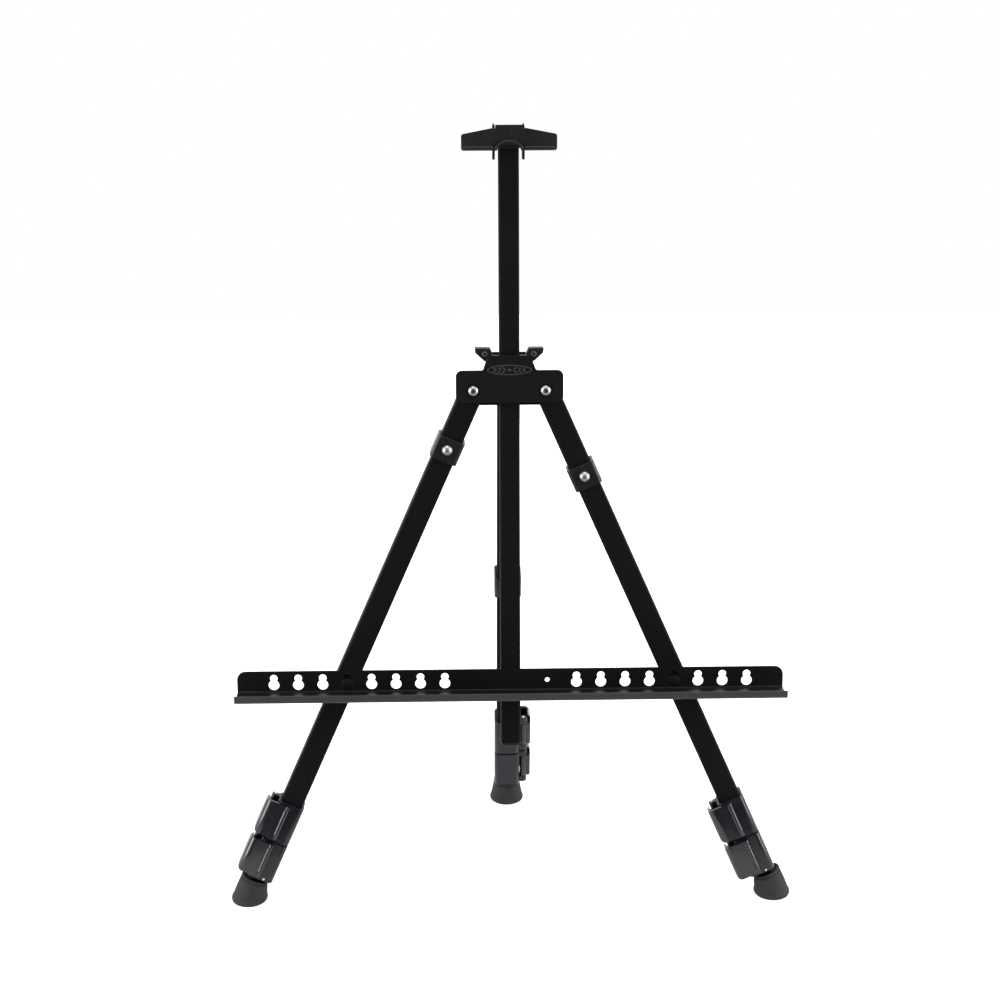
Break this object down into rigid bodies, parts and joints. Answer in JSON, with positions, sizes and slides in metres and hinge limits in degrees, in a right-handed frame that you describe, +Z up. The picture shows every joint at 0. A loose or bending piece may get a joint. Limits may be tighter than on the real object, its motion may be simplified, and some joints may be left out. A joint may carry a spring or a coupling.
{
  "type": "tabletop easel",
  "caption": "Folding black metal tripod easel at table height, with a sliding mast, telescoping legs with flip-lever clamps, a keyhole tray and a sliding top canvas holder.",
  "frame": {"origin": "centre of the easel's footprint box, on the surface it stands on", "axes": "+Z up, +Y towards the rear leg, +X to the right of someone facing the canvas"},
  "size_m": [0.473, 0.1972, 0.6412],
  "materials": {
    "head_black": "smooth black paint on pressed sheet steel",
    "tube_black": "satin black powder coat",
    "tray_black": "semi-gloss black powder coat on bent sheet",
    "peg_black": "black oxide stud",
    "rivet_steel": "bright nickel plate",
    "zinc_steel": "zinc-plated steel",
    "spring_steel": "spring wire",
    "washer_nylon": "black nylon",
    "moulded_black": "moulded black nylon",
    "collar_black": "semi-gloss moulded plastic",
    "clamp_black": "glossy moulded plastic",
    "lever_black": "glossy moulded plastic",
    "foot_rubber": "dark grey rubber"
  },
  "bodies": {
    "head": {"head_front_plate": "head_black", "head_back_plate": "head_black", "head_rivets": "rivet_steel", "leg_washers": "washer_nylon", "mast_guide": "moulded_black", "mast_lock_pins": "zinc_steel", "mast_lock_springs": "spring_steel", "rear_bracket": "head_black", "rear_hinge_bolt": "zinc_steel", "rear_hinge_nut": "zinc_steel"},
    "mast": {"mast_tube": "tube_black", "mast_end_plugs": "moulded_black"},
    "lock_lever_left": {"mast_lock_lever_left": "moulded_black"},
    "lock_lever_right": {"mast_lock_lever_right": "moulded_black"},
    "holder": {"holder_sleeve": "moulded_black", "holder_jaw": "moulded_black", "holder_pins": "zinc_steel"},
    "holder_grip_l": {"holder_grip_left": "moulded_black"},
    "holder_grip_r": {"holder_grip_right": "moulded_black"},
    "tray_body": {"tray": "tray_black", "tray_pegs": "peg_black"},
    "left_leg": {"left_outer_tube": "tube_black", "left_top_plug": "moulded_black", "left_upper_clamp": "clamp_black", "left_upper_lever_pin": "zinc_steel"},
    "left_middle": {"left_middle_tube": "tube_black", "left_lower_clamp": "clamp_black", "left_lower_lever_pin": "zinc_steel"},
    "left_inner": {"left_inner_tube": "tube_black", "left_foot": "foot_rubber"},
    "left_upper_lever_body": {"left_upper_lever": "lever_black"},
    "left_lower_lever_body": {"left_lower_lever": "lever_black"},
    "left_collar_body": {"left_collar": "collar_black", "left_collar_stud": "rivet_steel"},
    "right_leg": {"right_outer_tube": "tube_black", "right_top_plug": "moulded_black", "right_upper_clamp": "clamp_black", "right_upper_lever_pin": "zinc_steel"},
    "right_middle": {"right_middle_tube": "tube_black", "right_lower_clamp": "clamp_black", "right_lower_lever_pin": "zinc_steel"},
    "right_inner": {"right_inner_tube": "tube_black", "right_foot": "foot_rubber"},
    "right_upper_lever_body": {"right_upper_lever": "lever_black"},
    "right_lower_lever_body": {"right_lower_lever": "lever_black"},
    "right_collar_body": {"right_collar": "collar_black", "right_collar_stud": "rivet_steel"},
    "rear_leg": {"rear_outer_tube": "tube_black", "rear_top_plug": "moulded_black", "rear_upper_clamp": "clamp_black", "rear_upper_lever_pin": "zinc_steel"},
    "rear_middle": {"rear_middle_tube": "tube_black", "rear_lower_clamp": "clamp_black", "rear_lower_lever_pin": "zinc_steel"},
    "rear_inner": {"rear_inner_tube": "tube_black", "rear_foot": "foot_rubber"},
    "rear_upper_lever_body": {"rear_upper_lever": "lever_black"},
    "rear_lower_lever_body": {"rear_lower_lever": "lever_black"},
    "rear_collar_body": {"rear_collar": "collar_black", "rear_collar_stud": "rivet_steel"}
  },
  "joints": [
    {"name": "mast_slide", "type": "slide", "parent": "head", "child": "mast", "axis": [0, 0.1392, 0.9903], "range_m": [-0.13, 0.25]},
    {"name": "lock_lever_left_squeeze", "type": "hinge", "parent": "head", "child": "lock_lever_left", "pos_m": [-0.0154, -0.02007, 0.45053], "axis": [0, 0.9903, -0.1392], "range_deg": [0, 8], "stiffness_Nm_per_rad": 0.1, "springref_deg": -17.19},
    {"name": "lock_lever_right_squeeze", "type": "hinge", "parent": "head", "child": "lock_lever_right", "pos_m": [0.0154, -0.02007, 0.45053], "axis": [0, -0.9903, 0.1392], "range_deg": [0, 8], "stiffness_Nm_per_rad": 0.1, "springref_deg": -17.19},
    {"name": "holder_slide", "type": "slide", "parent": "mast", "child": "holder", "axis": [0, 0.1392, 0.9903], "range_m": [-0.15, 0]},
    {"name": "holder_grip_left_squeeze", "type": "hinge", "parent": "holder", "child": "holder_grip_l", "pos_m": [-0.0123, 0.00434, 0.62422], "axis": [0, -0.9903, 0.1392], "range_deg": [0, 4.5], "stiffness_Nm_per_rad": 0.1, "springref_deg": -11.46},
    {"name": "holder_grip_right_squeeze", "type": "hinge", "parent": "holder", "child": "holder_grip_r", "pos_m": [0.0123, 0.00434, 0.62422], "axis": [0, 0.9903, -0.1392], "range_deg": [0, 4.5], "stiffness_Nm_per_rad": 0.1, "springref_deg": -11.46},
    {"name": "left_leg_swing", "type": "hinge", "parent": "head", "child": "left_leg", "pos_m": [-0.02883, -0.0228, 0.43112], "axis": [0, -0.9903, 0.1392], "range_deg": [0, 23.85]},
    {"name": "left_middle_slide", "type": "slide", "parent": "left_leg", "child": "left_middle", "axis": [-0.4043, -0.1273, -0.9057], "range_m": [0, 0.34]},
    {"name": "left_inner_slide", "type": "slide", "parent": "left_middle", "child": "left_inner", "axis": [-0.4043, -0.1273, -0.9057], "range_m": [0, 0.34]},
    {"name": "left_upper_lever_flip", "type": "hinge", "parent": "left_leg", "child": "left_upper_lever_body", "pos_m": [-0.20337, -0.06969, 0.07586], "axis": [-0.4043, -0.1273, -0.9057], "range_deg": [0, 100]},
    {"name": "left_lower_lever_flip", "type": "hinge", "parent": "left_middle", "child": "left_lower_lever_body", "pos_m": [-0.21809, -0.07433, 0.04289], "axis": [-0.4043, -0.1273, -0.9057], "range_deg": [0, 100]},
    {"name": "left_collar_slide", "type": "slide", "parent": "left_leg", "child": "left_collar_body", "axis": [-0.4043, -0.1273, -0.9057], "range_m": [-0.018, 0.17]},
    {"name": "right_leg_swing", "type": "hinge", "parent": "head", "child": "right_leg", "pos_m": [0.02883, -0.0228, 0.43112], "axis": [0, 0.9903, -0.1392], "range_deg": [0, 23.85]},
    {"name": "right_middle_slide", "type": "slide", "parent": "right_leg", "child": "right_middle", "axis": [0.4043, -0.1273, -0.9057], "range_m": [0, 0.34]},
    {"name": "right_inner_slide", "type": "slide", "parent": "right_middle", "child": "right_inner", "axis": [0.4043, -0.1273, -0.9057], "range_m": [0, 0.34]},
    {"name": "right_upper_lever_flip", "type": "hinge", "parent": "right_leg", "child": "right_upper_lever_body", "pos_m": [0.17639, -0.07136, 0.06405], "axis": [0.4043, -0.1273, -0.9057], "range_deg": [0, 100]},
    {"name": "right_lower_lever_flip", "type": "hinge", "parent": "right_middle", "child": "right_lower_lever_body", "pos_m": [0.19111, -0.07599, 0.03108], "axis": [0.4043, -0.1273, -0.9057], "range_deg": [0, 100]},
    {"name": "right_collar_slide", "type": "slide", "parent": "right_leg", "child": "right_collar_body", "axis": [0.4043, -0.1273, -0.9057], "range_m": [-0.042, 0.14]},
    {"name": "rear_leg_swing", "type": "hinge", "parent": "head", "child": "rear_leg", "pos_m": [0, 0.00338, 0.4234], "axis": [-1, 0, 0], "range_deg": [0, 18.7]},
    {"name": "rear_middle_slide", "type": "slide", "parent": "rear_leg", "child": "rear_middle", "axis": [0, 0.1857, -0.9826], "range_m": [0, 0.3]},
    {"name": "rear_inner_slide", "type": "slide", "parent": "rear_middle", "child": "rear_inner", "axis": [0, 0.1857, -0.9826], "range_m": [0, 0.3]},
    {"name": "rear_upper_lever_flip", "type": "hinge", "parent": "rear_leg", "child": "rear_upper_lever_body", "pos_m": [0.01475, 0.06601, 0.07579], "axis": [0, 0.1857, -0.9826], "range_deg": [0, 100]},
    {"name": "rear_lower_lever_flip", "type": "hinge", "parent": "rear_middle", "child": "rear_lower_lever_body", "pos_m": [0.01475, 0.07277, 0.04002], "axis": [0, 0.1857, -0.9826], "range_deg": [0, 100]},
    {"name": "rear_collar_slide", "type": "slide", "parent": "rear_leg", "child": "rear_collar_body", "axis": [0, 0.1857, -0.9826], "range_m": [-0.14, 0.12]},
    {"name": "tray_lift", "type": "slide", "parent": "head", "child": "tray_body", "axis": [0, -0.9903, 0.1392], "range_m": [0, 0.14]}
  ],
  "couplings": [
    {"joint": "right_leg_swing", "follows": "left_leg_swing", "ratio": 1},
    {"joint": "tray_lift", "follows": "left_leg_swing", "m_per_rad": 0.336}
  ]
}
